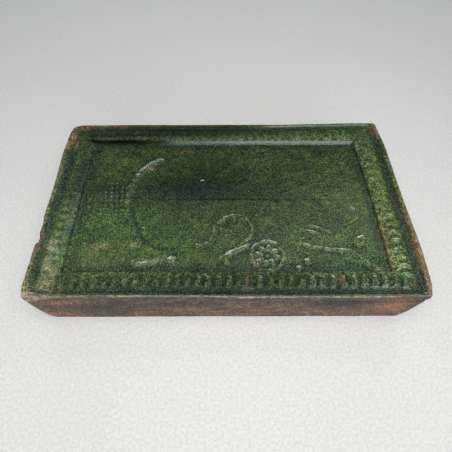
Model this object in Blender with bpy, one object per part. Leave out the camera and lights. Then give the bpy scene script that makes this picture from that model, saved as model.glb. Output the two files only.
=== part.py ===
import math

import bmesh
import bpy
from mathutils import Matrix, Vector

# A glazed stove tile lying on its back: a pressed face plate with a moulded rim, and
# behind it the collar that is bedded in the stove's clay. It is one fired piece.
# +X runs to the end that is the top in the stove wall, +Z is the face's direction.

MM = 0.001

# Whole tile
LENGTH = 310 * MM
WIDTH = 180 * MM
HEIGHT = 60 * MM
PLATE_EDGE = 15 * MM
FIELD_DEPTH = 8 * MM
LIP_RADIUS = 3 * MM

# Rim of the face, from the outer edge to the field
RIM_SIDE = 19.8 * MM
RIM_END = 27.8 * MM
STAMP_PITCH = 7.85 * MM
STAMP_SHIFT = 2 * MM    # the near row starts this much closer to the tile's top end
STAMP_RISE = 1.1 * MM
STAMP_TOP = 0.9         # a stamp's top width as a share of its base
STAMP_GAP = 0.9 * MM
STAMP_THICKNESS = 4 * MM
STAMP_TILT = math.radians(9)
CORNER_KNOB = (5.5 * MM, 4.5 * MM, 2 * MM)

# Collar behind the plate
COLLAR_WALL = 10 * MM
HOLLOW_RADIUS = 9 * MM

# Hand-cut outline: the top end bows out near the front corner, and the far side
# runs in towards the foot
BOW = 1.8 * MM
BOW_PLACE = -50 * MM
BOW_REACH = 30 * MM
FAR_TAPER = 2.4 * MM
FAR_TAPER_START = 136 * MM
FAR_TAPER_END = 36 * MM

# Vase of flowers on the field
BOWL_ROLL = 4.8 * MM
ROSETTE_PLACE = (31 * MM, 54.6 * MM)
ROSETTE_RADIUS = 13.1 * MM
ROSETTE_PETALS = 8
PETAL_TURN = 0.25       # share of a petal's step that the first petal is turned by
STEM_FOOT = -48 * MM
STEM_TOP = 40 * MM
FOOT_TOP = -88 * MM
FOOT_BASE = -111 * MM
FOOT_HALF_WIDTH = 18 * MM

# Steps of round and straight stretches
CORNER_STEPS = 2
LONG_STEPS = 9
SHORT_STEPS = 6
RING_POINTS = 4 * CORNER_STEPS + 2 * LONG_STEPS + 2 * SHORT_STEPS

WELD_DISTANCE = 0.03 * MM

FIELD_Z = HEIGHT - FIELD_DEPTH
PLATE_BACK_Z = HEIGHT - PLATE_EDGE
HALF_LENGTH = LENGTH / 2
HALF_WIDTH = WIDTH / 2

# Outer section, from the collar's rim up to the plate's edge: inset from the tile's box
# at the foot end, the top end and the sides, corner radius, and height
EDGE_SECTION = (
    (4.0 * MM, 5.5 * MM, 3.8 * MM, 7 * MM, 0.0),
    (1.2 * MM, 3.6 * MM, 2.9 * MM, 6 * MM, 5 * MM),
    (0.0, 3.0 * MM, 2.3 * MM, 5 * MM, 13 * MM),
    (2.3 * MM, 1.4 * MM, 2.3 * MM, 4 * MM, PLATE_BACK_Z - 4 * MM),
    (3.0 * MM, 1.6 * MM, 2.4 * MM, 4 * MM, PLATE_BACK_Z - 1 * MM),
    (2.5 * MM, 0.2 * MM, 0.7 * MM, 3.5 * MM, PLATE_BACK_Z + 1.5 * MM),
)

# Rim from the lip to the field: inset at the ends and at the sides, and drop from the top
RIM_SECTION = (
    (3.1 * MM, 0.0, 2.6 * MM),
    (3.5 * MM, 0.5 * MM, 0.7 * MM),
    (4.6 * MM, 1.2 * MM, 0.0),
    (7.0 * MM, 2.2 * MM, 0.6 * MM),
    (8.8 * MM, 3.5 * MM, 3.2 * MM),
    (11.4 * MM, 4.9 * MM, 3.6 * MM),
    (12.4 * MM, 5.8 * MM, 2.5 * MM),
    (24.7 * MM, 17.5 * MM, 2.9 * MM),
    (25.3 * MM, 18.0 * MM, 4.2 * MM),
    (27.3 * MM, 19.1 * MM, 4.6 * MM),
    (RIM_END, RIM_SIDE, FIELD_DEPTH),
)
BAND_OUTER = RIM_SECTION[6]
BAND_INNER = RIM_SECTION[7]


def make_collection(name):
    collection = bpy.data.collections.new(name)
    bpy.context.scene.collection.children.link(collection)
    return collection


def make_material(name, colour, roughness):
    material = bpy.data.materials.new(name)
    material.use_nodes = True
    shader = material.node_tree.nodes["Principled BSDF"]
    shader.inputs["Base Color"].default_value = (*colour, 1.0)
    shader.inputs["Roughness"].default_value = roughness
    shader.inputs["Metallic"].default_value = 0.0
    return material


def add_object(bm, name, collection):
    mesh = bpy.data.meshes.new(name)
    bm.to_mesh(mesh)
    bm.free()
    item = bpy.data.objects.new(name, mesh)
    collection.objects.link(item)
    return item


def hide_tool(item):
    item.hide_render = True
    item.display_type = "WIRE"


def bell(value, place, reach):
    return math.exp(-(((value - place) / reach) ** 2))


def worn(x, y, height):
    """Move an outline point as the hand-cut edge runs."""
    near_lip = max(0.0, (height - PLATE_BACK_Z) / PLATE_EDGE)
    near_end = max(0.0, (x - (HALF_LENGTH - RIM_END)) / RIM_END)
    x += BOW * near_lip * near_end * bell(y, BOW_PLACE, BOW_REACH)
    near_far_side = max(0.0, (y - (HALF_WIDTH - RIM_SIDE)) / RIM_SIDE)
    share = min(1.0, max(0.0, (FAR_TAPER_START - x) / (FAR_TAPER_START - FAR_TAPER_END)))
    y -= FAR_TAPER * near_far_side * share * share * (3 - 2 * share)
    return x, y


def outline(left, right, side, radius):
    """Points of a rounded rectangle, inset from the tile's box, anticlockwise."""
    low = Vector((-HALF_LENGTH + left, -HALF_WIDTH + side))
    high = Vector((HALF_LENGTH - right, HALF_WIDTH - side))
    corners = (
        (high.x - radius, high.y - radius, 0, LONG_STEPS),
        (low.x + radius, high.y - radius, 90, SHORT_STEPS),
        (low.x + radius, low.y + radius, 180, LONG_STEPS),
        (high.x - radius, low.y + radius, 270, SHORT_STEPS),
    )
    arcs = []
    for centre_x, centre_y, start, _ in corners:
        turn = [math.radians(start + 90 * i / CORNER_STEPS) for i in range(CORNER_STEPS + 1)]
        arcs.append([(centre_x + radius * math.cos(a), centre_y + radius * math.sin(a)) for a in turn])
    points = []
    for index, (_, _, _, steps) in enumerate(corners):
        points += arcs[index]
        start = Vector(arcs[index][-1])
        end = Vector(arcs[(index + 1) % 4][0])
        points += [start.lerp(end, i / steps)[:] for i in range(1, steps)]
    return points


def body_rings():
    """The tile's section as outlines with heights, from the hollow's ceiling to the field."""
    left, right, side, _, height = EDGE_SECTION[0]
    wall = COLLAR_WALL
    rings = [
        (left + wall, right + wall, side + wall, HOLLOW_RADIUS, PLATE_BACK_Z),
        (left + wall, right + wall, side + wall, HOLLOW_RADIUS, height),
    ]
    rings += EDGE_SECTION
    for end, side, drop in RIM_SECTION:
        radius = LIP_RADIUS * (1 - 0.6 * end / RIM_END)
        rings.append((end, end, side, radius, HEIGHT - drop))
    return rings


def tile_body():
    """One skin grown from the hollow's ceiling, down the collar, and up over the rim."""
    bm = bmesh.new()
    ring = bmesh.ops.create_circle(bm, segments=RING_POINTS, radius=1.0)["verts"]
    edges = list(bm.edges)
    for index, (left, right, side, radius, height) in enumerate(body_rings()):
        points = outline(left, right, side, radius)
        if index > 0:
            grown = bmesh.ops.extrude_edge_only(bm, edges=edges)["geom"]
            ring = [item for item in grown if isinstance(item, bmesh.types.BMVert)]
            edges = [item for item in grown if isinstance(item, bmesh.types.BMEdge)
                     and all(v in ring for v in item.verts)]
        for vert, (x, y) in zip(ring, points):
            vert.co = (*worn(x, y, height), height)
        if index == 0:
            bmesh.ops.contextual_create(bm, geom=edges)
    bmesh.ops.contextual_create(bm, geom=edges)
    bmesh.ops.recalc_face_normals(bm, faces=bm.faces)
    return bm


def stamp_shape(across, along):
    """One scale of the border: a tilted disc, cut straight behind, its round edge raised."""
    bm = bmesh.new()
    radius = across / 2
    thick = STAMP_THICKNESS
    bmesh.ops.create_cone(bm, cap_ends=True, segments=8, radius1=radius, radius2=radius * STAMP_TOP,
                          depth=thick)
    bmesh.ops.translate(bm, verts=bm.verts, vec=(-radius * STAMP_TOP, 0, -thick / 2))
    geom = list(bm.verts) + list(bm.edges) + list(bm.faces)
    bmesh.ops.bisect_plane(bm, geom=geom, plane_co=(-along, 0, 0), plane_no=(-1, 0, 0),
                           clear_outer=True)
    bmesh.ops.holes_fill(bm, edges=bm.edges)
    bmesh.ops.rotate(bm, verts=bm.verts, matrix=Matrix.Rotation(-STAMP_TILT, 3, "Y"))
    bmesh.ops.translate(bm, verts=bm.verts, vec=(0, 0, STAMP_RISE))
    mesh = bpy.data.meshes.new("stamp")
    bm.to_mesh(mesh)
    bm.free()
    return mesh


def border_stamps(collection):
    """The rows of scales on all four sides; each row runs anticlockwise round the field."""
    end_line = HALF_LENGTH - (BAND_OUTER[0] + BAND_INNER[0]) / 2
    side_line = HALF_WIDTH - (BAND_OUTER[1] + BAND_INNER[1]) / 2
    end_across = BAND_INNER[0] - BAND_OUTER[0]
    side_across = BAND_INNER[1] - BAND_OUTER[1]
    side_count = int(2 * (end_line - side_across / 2) / STAMP_PITCH)
    end_count = int(2 * (side_line - end_across / 2) / STAMP_PITCH) + 1
    crest = HEIGHT - BAND_OUTER[2]
    rows = (
        (Vector((STAMP_SHIFT, -side_line)), 0, side_across, side_count),
        (Vector((end_line, 0)), 90, end_across, end_count),
        (Vector((0, side_line)), 180, side_across, side_count),
        (Vector((-end_line, 0)), 270, end_across, end_count),
    )
    bm = bmesh.new()
    for middle_point, heading, across, count in rows:
        shape = stamp_shape(across, STAMP_PITCH - STAMP_GAP)
        turn = Matrix.Rotation(math.radians(heading), 4, "Z")
        for index in range(count):
            offset = turn @ Vector(((index - (count - 1) / 2) * STAMP_PITCH, 0, 0))
            before = len(bm.verts)
            bm.from_mesh(shape)
            bm.verts.ensure_lookup_table()
            where = Matrix.Translation((middle_point.x + offset.x, middle_point.y + offset.y, crest))
            bmesh.ops.transform(bm, verts=bm.verts[before:], matrix=where @ turn)
        bpy.data.meshes.remove(shape)
    for sign_x in (-1, 1):
        for sign_y in (-1, 1):
            where = Matrix.Translation((sign_x * end_line, sign_y * side_line, crest))
            flat = Matrix.Diagonal((*CORNER_KNOB, 1))
            bmesh.ops.create_icosphere(bm, subdivisions=1, radius=1.0, matrix=where @ flat)
    item = add_object(bm, "border_stamps", collection)
    hide_tool(item)
    return item


def smooth_path(points, steps):
    """A curve through the given points, each stretch cut into equal steps."""
    path = []
    last = len(points) - 1
    for index in range(last):
        before = Vector(points[max(index - 1, 0)])
        start = Vector(points[index])
        end = Vector(points[index + 1])
        after = Vector(points[min(index + 2, last)])
        for step in range(steps):
            t = step / steps
            path.append(0.5 * (2 * start + (end - before) * t
                               + (2 * before - 5 * start + 4 * end - after) * t * t
                               + (3 * start - before - 3 * end + after) * t ** 3))
    path.append(Vector(points[-1]))
    return path


def arc(centre, radii, start, end, steps):
    turn = [math.radians(start + (end - start) * i / steps) for i in range(steps + 1)]
    return [Vector((centre[0] + radii[0] * math.cos(a), centre[1] + radii[1] * math.sin(a)))
            for a in turn]


def ridge(name, path, width, rise, collection, closed=False):
    """A low rounded moulding along a path on the field, sunk by its lower half."""
    curve = bpy.data.curves.new(name, "CURVE")
    curve.dimensions = "3D"
    curve.bevel_depth = width / 2
    curve.bevel_resolution = 1
    curve.use_fill_caps = True
    spline = curve.splines.new("POLY")
    spline.points.add(len(path) - 1)
    for point, place in zip(spline.points, path):
        point.co = (place[0], place[1], 0, 1)
    spline.use_cyclic_u = closed
    guide = bpy.data.objects.new(name, curve)
    collection.objects.link(guide)
    bpy.context.view_layer.update()
    mesh = bpy.data.meshes.new_from_object(guide.evaluated_get(bpy.context.evaluated_depsgraph_get()))
    bpy.data.objects.remove(guide)
    bm = bmesh.new()
    bm.from_mesh(mesh)
    bpy.data.meshes.remove(mesh)
    bmesh.ops.remove_doubles(bm, verts=bm.verts, dist=0.00001)
    flat = Matrix.Diagonal((1, 1, rise / (width / 2), 1))
    bmesh.ops.transform(bm, verts=bm.verts, matrix=Matrix.Translation((0, 0, FIELD_Z)) @ flat)
    bmesh.ops.recalc_face_normals(bm, faces=bm.faces)
    item = add_object(bm, name, collection)
    hide_tool(item)
    return item


def domes(name, places, collection):
    """Low round knobs: each place is x, y, half length, half width, rise and heading."""
    bm = bmesh.new()
    for x, y, half_long, half_wide, rise, heading in places:
        where = Matrix.Translation((x, y, FIELD_Z - 0.2 * MM))
        turn = Matrix.Rotation(math.radians(heading), 4, "Z")
        flat = Matrix.Diagonal((half_long, half_wide, rise, 1))
        bmesh.ops.create_icosphere(bm, subdivisions=1, radius=1.0, matrix=where @ turn @ flat)
    item = add_object(bm, name, collection)
    hide_tool(item)
    return item


def mirrored(points, sign):
    return [(p[0], sign * p[1]) for p in points]


def bowl(sign, name, collection):
    """Half of the bowl's thick outline, flared at the mouth, and the handle beside it."""
    side = smooth_path([(x * MM, y * MM) for x, y in (
        (-87, -1), (-86, 10), (-84, 19), (-79.5, 29), (-74.5, 36), (-69, 41.5), (-62, 45.5),
        (-55, 46), (-48.5, 47), (-43, 51.5))], 2)
    handle = smooth_path([(x * MM, y * MM) for x, y in (
        (-73, 61), (-67, 62.5), (-60, 60.5), (-52, 58), (-45, 58))], 2)
    return [
        ridge(name + "_bowl", mirrored(side, sign), BOWL_ROLL, 1.6 * MM, collection),
        ridge(name + "_handle", mirrored(handle, sign), 3.6 * MM, 1.7 * MM, collection),
    ]


def leaf(sign, name, collection):
    """The curled leaf on its stem, with its second line."""
    edge = [(-25, 45), (-16, 44), (-11.5, 36), (-9, 27), (-1, 19), (9, 16.5), (18, 21),
            (21.5, 30), (17.5, 40), (6, 49), (-6, 57.5)]
    edge = smooth_path([(x * MM, y * MM) for x, y in edge], 2)
    tail = smooth_path([(x * MM, y * MM) for x, y in ((17, 46), (8, 50.5), (1, 55), (0, 61))], 2)
    return [
        ridge(name + "_leaf", mirrored(edge, sign), 2.4 * MM, 1.3 * MM, collection),
        ridge(name + "_leaf_tail", mirrored(tail, sign), 2.4 * MM, 1.3 * MM, collection),
    ]


def fan(sign, name, collection):
    """Half of the crown that opens from the stem towards the tile's top corner."""
    lines = (
        ((60, 42.5), (66, 46), (76, 48.2), (90, 49.8), (102, 52), (110, 58.5), (119, 66.5)),
        ((61, 30.5), (69, 32.7), (78, 34.6)),
        ((68, 26), (76, 29.3), (88, 34)),
        ((57, 48.5), (61, 41), (65, 35)),
        ((38, 1.4), (48, 5), (60, 12), (80, 19), (103, 24)),
    )
    made = []
    for index, points in enumerate(lines):
        path = smooth_path([(x * MM, y * MM) for x, y in points], 2)
        made.append(ridge(f"{name}_fan_{index}", mirrored(path, sign), 2.2 * MM, 1.1 * MM, collection))
    return made


def rosette(sign, name, collection):
    x, y = ROSETTE_PLACE
    ring = arc((x, y), (ROSETTE_RADIUS, ROSETTE_RADIUS), 0, 360, 20)[:-1]
    petals = []
    for index in range(ROSETTE_PETALS):
        angle = 360 * (index + PETAL_TURN) / ROSETTE_PETALS
        reach = 0.57 * ROSETTE_RADIUS
        petals.append((x + reach * math.cos(math.radians(angle)),
                       sign * (y + reach * math.sin(math.radians(angle))),
                       3.6 * MM, 2.1 * MM, 1.8 * MM, sign * angle))
    petals.append((x, sign * y, 2.3 * MM, 2.3 * MM, 2.2 * MM, 0))
    return [
        ridge(name + "_rosette_ring", mirrored(ring, sign), 2.2 * MM, 1.2 * MM, collection, True),
        domes(name + "_rosette_petals", petals, collection),
    ]


def knobs(sign, name, collection):
    """Berries, buds and the dashes inside the leaf."""
    round_knobs = ((-42.9, 58, 2.7), (-21.2, 20.5, 2.4), (-31.5, 20.5, 2.0), (-27, 27, 1.8),
                   (50.5, 60.5, 2.2), (56.5, 66.8, 2.2), (64, 60.5, 2.6), (65.7, 53, 1.7),
                   (69.7, 40.4, 1.7), (110, 41.5, 5.0), (99, 59.5, 1.9), (36.5, 28, 2.0))
    places = [(x * MM, sign * y * MM, r * MM, r * MM, r * 0.62 * MM, 0) for x, y, r in round_knobs]
    dashes = ((8.5, 26), (4, 31.5), (-0.5, 37), (11, 35), (5.5, 40), (-4.5, 28))
    places += [(x * MM, sign * y * MM, 2.6 * MM, 1.1 * MM, 1.1 * MM, -sign * 50) for x, y in dashes]
    return [domes(name + "_knobs", places, collection)]


def foot(collection):
    """The vase's foot: a lattice of crossing bars inside a splayed frame."""
    made = []
    bars = 5
    depth = FOOT_TOP - FOOT_BASE
    for sign in (1, -1):
        for index in range(bars):
            start = (index / (bars - 1) * 2 - 1) * FOOT_HALF_WIDTH
            end = max(-FOOT_HALF_WIDTH, min(FOOT_HALF_WIDTH, start + sign * depth * 0.7))
            share = abs(end - start) / (depth * 0.7)
            if share < 0.2:
                continue
            path = [(FOOT_BASE, start), (FOOT_BASE + depth * share, end)]
            made.append(ridge(f"foot_bar_{sign}_{index}", path, 1.8 * MM, 0.9 * MM, collection))
        splay = [(FOOT_TOP, sign * FOOT_HALF_WIDTH), (FOOT_BASE - 2 * MM, sign * (FOOT_HALF_WIDTH + 4 * MM))]
        made.append(ridge(f"foot_side_{sign}", splay, 2.4 * MM, 1.2 * MM, collection))
        ledge = [(-109 * MM, sign * 46.5 * MM), (-91 * MM, sign * 46.5 * MM)]
        made.append(ridge(f"foot_ledge_{sign}", ledge, 2.2 * MM, 1.1 * MM, collection))
    return made


def stem(collection):
    """The middle stem from the bowl's mouth to the crown."""
    path = [(STEM_FOOT, 0), ((STEM_FOOT + STEM_TOP) / 2, 0), (STEM_TOP, 0)]
    return [ridge("stem", path, 2.8 * MM, 1.3 * MM, collection)]


def chips(collection):
    """Broken and worn places of the edge, each cut by a rough ball."""
    places = (
        ((-156, -40, 62), (10.5, 14, 13), 10),
        ((-154.5, -63, 61), (3.6, 4, 5), 30),
        ((-155, 104, 62), (25, 25, 17), 35),
        ((-118, 91, 61), (5, 3.8, 4), 15),
        ((162, 101, 60), (20, 20, 16), 50),
        ((155, 54, 61), (3.6, 6, 5), 20),
        ((-161, -99, 64), (13.5, 13.5, 9), 45),
        ((127, -93, 61.5), (14, 4.2, 4), 5),
    )
    bm = bmesh.new()
    for centre, radii, turn in places:
        where = Matrix.Translation(Vector(centre) * MM)
        spin = Matrix.Rotation(math.radians(turn), 4, (0.3, 0.2, 1))
        flat = Matrix.Diagonal((*(Vector(radii) * MM), 1))
        bmesh.ops.create_icosphere(bm, subdivisions=2, radius=1.0, matrix=where @ flat @ spin)
    item = add_object(bm, "edge_chips", collection)
    hide_tool(item)
    return item


def join_shapes(tile, collection, operation):
    modifier = tile.modifiers.new(operation.lower(), "BOOLEAN")
    modifier.operation = operation
    modifier.solver = "EXACT"
    modifier.operand_type = "COLLECTION"
    modifier.collection = collection


def weld_slivers(tile):
    modifier = tile.modifiers.new("weld", "WELD")
    modifier.merge_threshold = WELD_DISTANCE


def build_tile():
    for item in list(bpy.data.objects):
        bpy.data.objects.remove(item)
    finished = make_collection("stove_tile")
    relief = make_collection("relief_shapes")
    cutters = make_collection("edge_cutters")
    tile = add_object(tile_body(), "stove_tile", finished)
    tile.data.materials.append(make_material("green_lead_glaze", (0.035, 0.075, 0.02), 0.22))
    border_stamps(relief)
    stem(relief)
    foot(relief)
    for sign, name in ((-1, "near"), (1, "far")):
        bowl(sign, name, relief)
        leaf(sign, name, relief)
        fan(sign, name, relief)
        rosette(sign, name, relief)
        knobs(sign, name, relief)
    chips(cutters)
    join_shapes(tile, relief, "UNION")
    join_shapes(tile, cutters, "DIFFERENCE")
    weld_slivers(tile)


build_tile()
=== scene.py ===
import math
import random

import bmesh
import bpy
import numpy as np
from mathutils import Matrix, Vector, noise


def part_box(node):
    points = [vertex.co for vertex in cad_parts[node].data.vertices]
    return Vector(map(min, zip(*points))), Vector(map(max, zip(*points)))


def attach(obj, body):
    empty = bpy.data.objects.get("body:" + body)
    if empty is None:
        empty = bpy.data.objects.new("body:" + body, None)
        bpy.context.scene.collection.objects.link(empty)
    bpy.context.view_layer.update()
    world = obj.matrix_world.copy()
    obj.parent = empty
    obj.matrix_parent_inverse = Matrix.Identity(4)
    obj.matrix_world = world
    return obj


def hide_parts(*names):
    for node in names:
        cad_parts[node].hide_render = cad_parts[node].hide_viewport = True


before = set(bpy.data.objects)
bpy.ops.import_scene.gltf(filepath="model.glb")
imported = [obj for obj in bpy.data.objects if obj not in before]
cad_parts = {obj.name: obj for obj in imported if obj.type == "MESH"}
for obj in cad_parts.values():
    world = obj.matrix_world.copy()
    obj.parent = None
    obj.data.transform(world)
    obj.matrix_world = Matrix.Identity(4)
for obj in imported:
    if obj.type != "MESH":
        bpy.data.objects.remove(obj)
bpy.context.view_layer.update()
nodeLow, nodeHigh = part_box("stove_tile")

# sizes are in millimetres until a mesh is written, and +X is the top end of the tile
mm = 0.001
halfLength, halfWidth, topHeight = (value / mm for value in nodeHigh)


# 0 up to low and 1 from high on, straight between
def straight(value, low, high):
    return np.clip((value - low) / (high - low), 0, 1)


# the same, smooth between
def eased(value, low, high):
    share = straight(value, low, high)
    return share * share * (3 - 2 * share)


# 1 at the middle, falling away over the reach
def bell(value, middle, reach):
    return np.exp(-((value - middle) / reach) ** 2)


# Gaussian smoothing over a grid of values, spread in cells
def softened(grid, spread):
    reach = max(1, round(3 * spread))
    steps = np.arange(-reach, reach + 1)
    weights = np.exp(-0.5 * (steps / spread) ** 2)
    weights /= weights.sum()
    for axis in (0, 1):
        margin = [(0, 0), (0, 0)]
        margin[axis] = (reach, reach)
        wide = np.pad(grid, margin, mode="edge")
        count = grid.shape[axis]
        grid = sum(w * wide.take(range(k, k + count), axis=axis) for k, w in enumerate(weights))
    return grid


# clay unevenness at each point: patches about size mm across, from about -1 to 1
def unevenness(x, y, z, size, drift):
    places = zip(np.ravel(x) / size, np.ravel(y) / size, np.ravel(z) / size)
    shift = Vector((drift, 0.7 * drift, 0.3 * drift))
    values = [noise.noise(Vector(place) + shift) for place in places]
    return np.array(values).reshape(np.shape(x))


# several sizes of it together: depth, size across and drift of each
def sway(x, y, z, layers):
    return sum(depth * unevenness(x, y, z, size, drift) for depth, size, drift in layers)


# a smooth line through a few points, cut into short straight steps
def smoothPath(points, steps=6):
    if len(points) < 3:
        return points
    ends = [points[0]] + list(points) + [points[-1]]
    path = []
    for before, here, there, after in zip(ends, ends[1:], ends[2:], ends[3:]):
        for k in range(steps):
            s = k / steps
            path.append(tuple(
                0.5 * (2 * b + (c - a) * s + (2 * a - 5 * b + 4 * c - d) * s * s
                       + (3 * b - a - 3 * c + d) * s ** 3)
                for a, b, c, d in zip(before, here, there, after)
            ))
    return path + [points[-1]]


# the plate with its rim and edge, and the collar behind it
tile = {
    "fieldPitch": 1.0,    # between mesh lines on the field
    # rows of the rim from the lip inwards: (inset, drop below the top) at the ends, on the near
    # side and on the far side, then the corner radius and the cells to the next row
    "rim": [
        ((3.1, 2.4), (0.0, 2.4), (0.0, 1.8), 3.2, 2),
        ((3.3, 0.8), (0.0, 1.0), (0.25, 0.7), 3.2, 2),
        ((4.2, 0.0), (0.3, 0.3), (1.5, 0.0), 3.2, 3),
        ((6.2, 0.5), (0.9, 0.6), (2.1, 0.25), 3.2, 3),
        ((7.7, 3.0), (1.9, 2.8), (3.5, 2.4), 3.0, 3),
        ((11.4, 3.6), (4.4, 3.5), (4.9, 2.9), 2.5, 2),
        ((12.6, 3.1), (5.8, 3.2), (6.6, 2.7), 2.0, 15),
        ((24.7, 3.3), (17.6, 3.2), (19.4, 3.0), 1.0, 1),
        ((25.3, 4.0), (18.4, 3.3), (20.7, 3.9), 0.6, 3),
        ((27.3, 4.6), (19.3, 3.5), (22.6, 6.8), 0.3, 2),
        ((27.8, 8.0), (19.8, 8.0), (23.2, 8.0), 0.0, 0),
    ],
    "bandRow": 6,    # the stamped band starts at this row
    "stepRows": (6.8, 7.2),    # and the step down to the field between these
    "mitre": 0.4,    # ends and sides meet over this many rows at the corners
    # rings down the edge, across the collar's foot and up inside it:
    # foot end inset, top end inset, side inset, corner radius, height
    "edge": [
        (1.2, 1.0, 0.2, 2.6, 54.0), (0.6, 0.4, 0.4, 2.0, 50.5),
        (0.3, 0.2, 0.5, 1.8, 47.2), (0.2, 0.2, 0.7, 1.8, 45.2),
        (0.5, 0.5, 1.4, 1.8, 43.6), (0.2, 0.6, 1.0, 1.8, 40.0),
        (0.2, 1.0, 1.1, 1.8, 33.0), (0.2, 1.6, 1.3, 2.0, 25.0),
        (0.2, 2.2, 1.5, 2.4, 18.0), (0.3, 2.7, 1.7, 2.8, 12.5),
        (0.6, 3.2, 1.8, 3.4, 8.0), (1.4, 4.0, 1.9, 4.2, 4.5),
        (2.6, 5.0, 2.2, 5.0, 1.4), (4.2, 6.2, 2.8, 5.5, 0.0),
        (13.4, 14.9, 13.2, 9.0, 0.0), (14.0, 15.5, 13.8, 9.0, 1.2),
        (14.0, 15.5, 13.8, 9.0, 24.0), (14.2, 15.7, 14.0, 9.0, 41.0),
        (15.4, 16.9, 15.2, 9.0, 44.4), (19.0, 20.5, 18.8, 9.0, 45.0),
    ],
    "outerRings": 14,    # so many of them are on the outside
    "plateBack": 45,    # height of the plate's back
    "bow": (1.8, -50, 30),    # the top end bulges outwards: by, at, reach
    "footBulge": (1.7, 50, 24),    # the foot end too, on its far half
    "topRun": (3.0, 52, 88),    # the top end runs in towards the far side: by, from, to
    "bandSpread": (5.5, 129, 12),    # its band widens: by, at, reach
    "bandSpreadRun": (-5, 67),    # and does so more towards the far side: from, to
    "softCorner": (14, 0.55),    # the far corner of the foot is worn round: reach, share
    "softCornerInset": (3, 1),    # and stays this far inside the end and the side
    "farRun": (2.3, 136, 36),    # the far side runs in towards the foot: by, from, to
    "nearLip": (1.7, 81, 88),    # the near lip stands lower: by, from, to
    "nearLipMore": (0.5, -60, 60),    # and more so towards the top end: share, from, to
}

# how the pressed clay was softened and made uneven; each sway has its depth, size and drift
press = {
    "softening": 0.65,    # in mesh cells
    "footSoftening": (1.7, -134, -116),    # more at the foot: in mesh cells, full, from
    "nearStep": (-124, -112),    # the near step stays crisp from here on
    "farStep": (0.45, 0, 70),    # the far step partly: share, from, to
    "farStepSway": [(0.2, 5, 9)],
    "faceSway": [(0.28, 34, 1), (0.12, 11, 2), (0.07, 4.2, 3)],
    "reliefLevel": 1.05,    # how much of the relief is left
    "reliefSway": [(0.5, 8, 4), (0.9, 3.2, 6)],
    "reliefRange": (0.5, 1.4),
    "wallSway": [(0.35, 30, 7, 1), (0.25, 9, 8, 2.5)],    # and how flat each lies
    "wallInset": 0.1,
    "poolReach": 4.5,    # in mesh cells: the glaze pools where the face is low
    "filledStep": (0.8, -124, 9, 10, 35),    # less at the foot step: share, at, reach, from, to
    "sharpAngle": 55,
}

rimNumbers = range(len(tile["rim"]))
lastRow = len(tile["rim"]) - 1
endRim, nearRim, farRim = ([row[side] for row in tile["rim"]] for side in range(3))
fieldEnd = halfLength - endRim[-1][0]
fieldFar = halfWidth - farRim[-1][0]


# a column of the rim's table at any row number: column 0 is the inset, 1 is the drop
def along(rim, rows, column):
    return np.interp(rows, rimNumbers, [entry[column] for entry in rim])


# mesh lines across the tile: their rim row numbers, which are the last row on the field, and
# where they lie
def meshLines(half, lowRim, highRim):
    rimPart = np.array([
        number + step / row[-1] for number, row in enumerate(tile["rim"]) for step in range(row[-1])
    ])
    low, high = -(half - lowRim[-1][0]), half - highRim[-1][0]
    field = np.linspace(low, high, round((high - low) / tile["fieldPitch"]) + 1)
    rows = np.concatenate([rimPart, np.full(len(field), lastRow), rimPart[::-1]])
    places = np.concatenate([
        along(lowRim, rimPart, 0) - half, field, half - along(highRim, rimPart[::-1], 0)
    ])
    return rows, places


# pulls the corner of a rectangle of the given half sizes round to a radius
def roundCorners(x, y, halfX, halfY, radius):
    overX = np.abs(x) - (halfX - radius)
    overY = np.abs(y) - (halfY - radius)
    inside = (overX > 0) & (overY > 0)
    shrink = np.where(inside, np.maximum(overX, overY) / np.maximum(np.hypot(overX, overY), 1e-6), 1)
    newX = np.where(inside, np.sign(x) * (halfX - radius + overX * shrink), x)
    newY = np.where(inside, np.sign(y) * (halfY - radius + overY * shrink), y)
    return newX, newY


# the uneven outline of the pressed plate, which fades out down the collar
def worn(x, y, z):
    onPlate = straight(z, tile["plateBack"], topHeight)
    onTopEnd = straight(x, fieldEnd, halfLength)
    onFarSide = straight(y, fieldFar, halfWidth)
    by, start, end = tile["nearLip"]
    more, moreStart, moreEnd = tile["nearLipMore"]
    z = z - by * onPlate * eased(-y, start, end) * (1 + more * eased(x, moreStart, moreEnd))
    by, at, reach = tile["bow"]
    x = x + by * onPlate * onTopEnd * bell(y, at, reach)
    by, start, end = tile["topRun"]
    x = x - by * onPlate * onTopEnd * eased(y, start, end)
    by, at, reach = tile["bandSpread"]
    x = x - by * onPlate * straight(y, *tile["bandSpreadRun"]) * bell(x, at, reach)
    by, at, reach = tile["footBulge"]
    x = x - by * onPlate * straight(-x, fieldEnd, halfLength) * bell(y, at, reach)
    by, start, end = tile["farRun"]
    y = y - by * onFarSide * eased(-x, -start, -end)
    reach, share = tile["softCorner"]
    endInset, sideInset = tile["softCornerInset"]
    overX = -x - (halfLength - endInset - reach)
    overY = y - (halfWidth - sideInset - reach)
    atCorner = onPlate * (overX > 0) * (overY > 0) * share
    shrink = np.maximum(overX, overY) / np.maximum(np.hypot(overX, overY), 1e-6)
    x = x + atCorner * overX * (1 - shrink)
    y = y - atCorner * overY * (1 - shrink)
    return x, y, z


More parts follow.
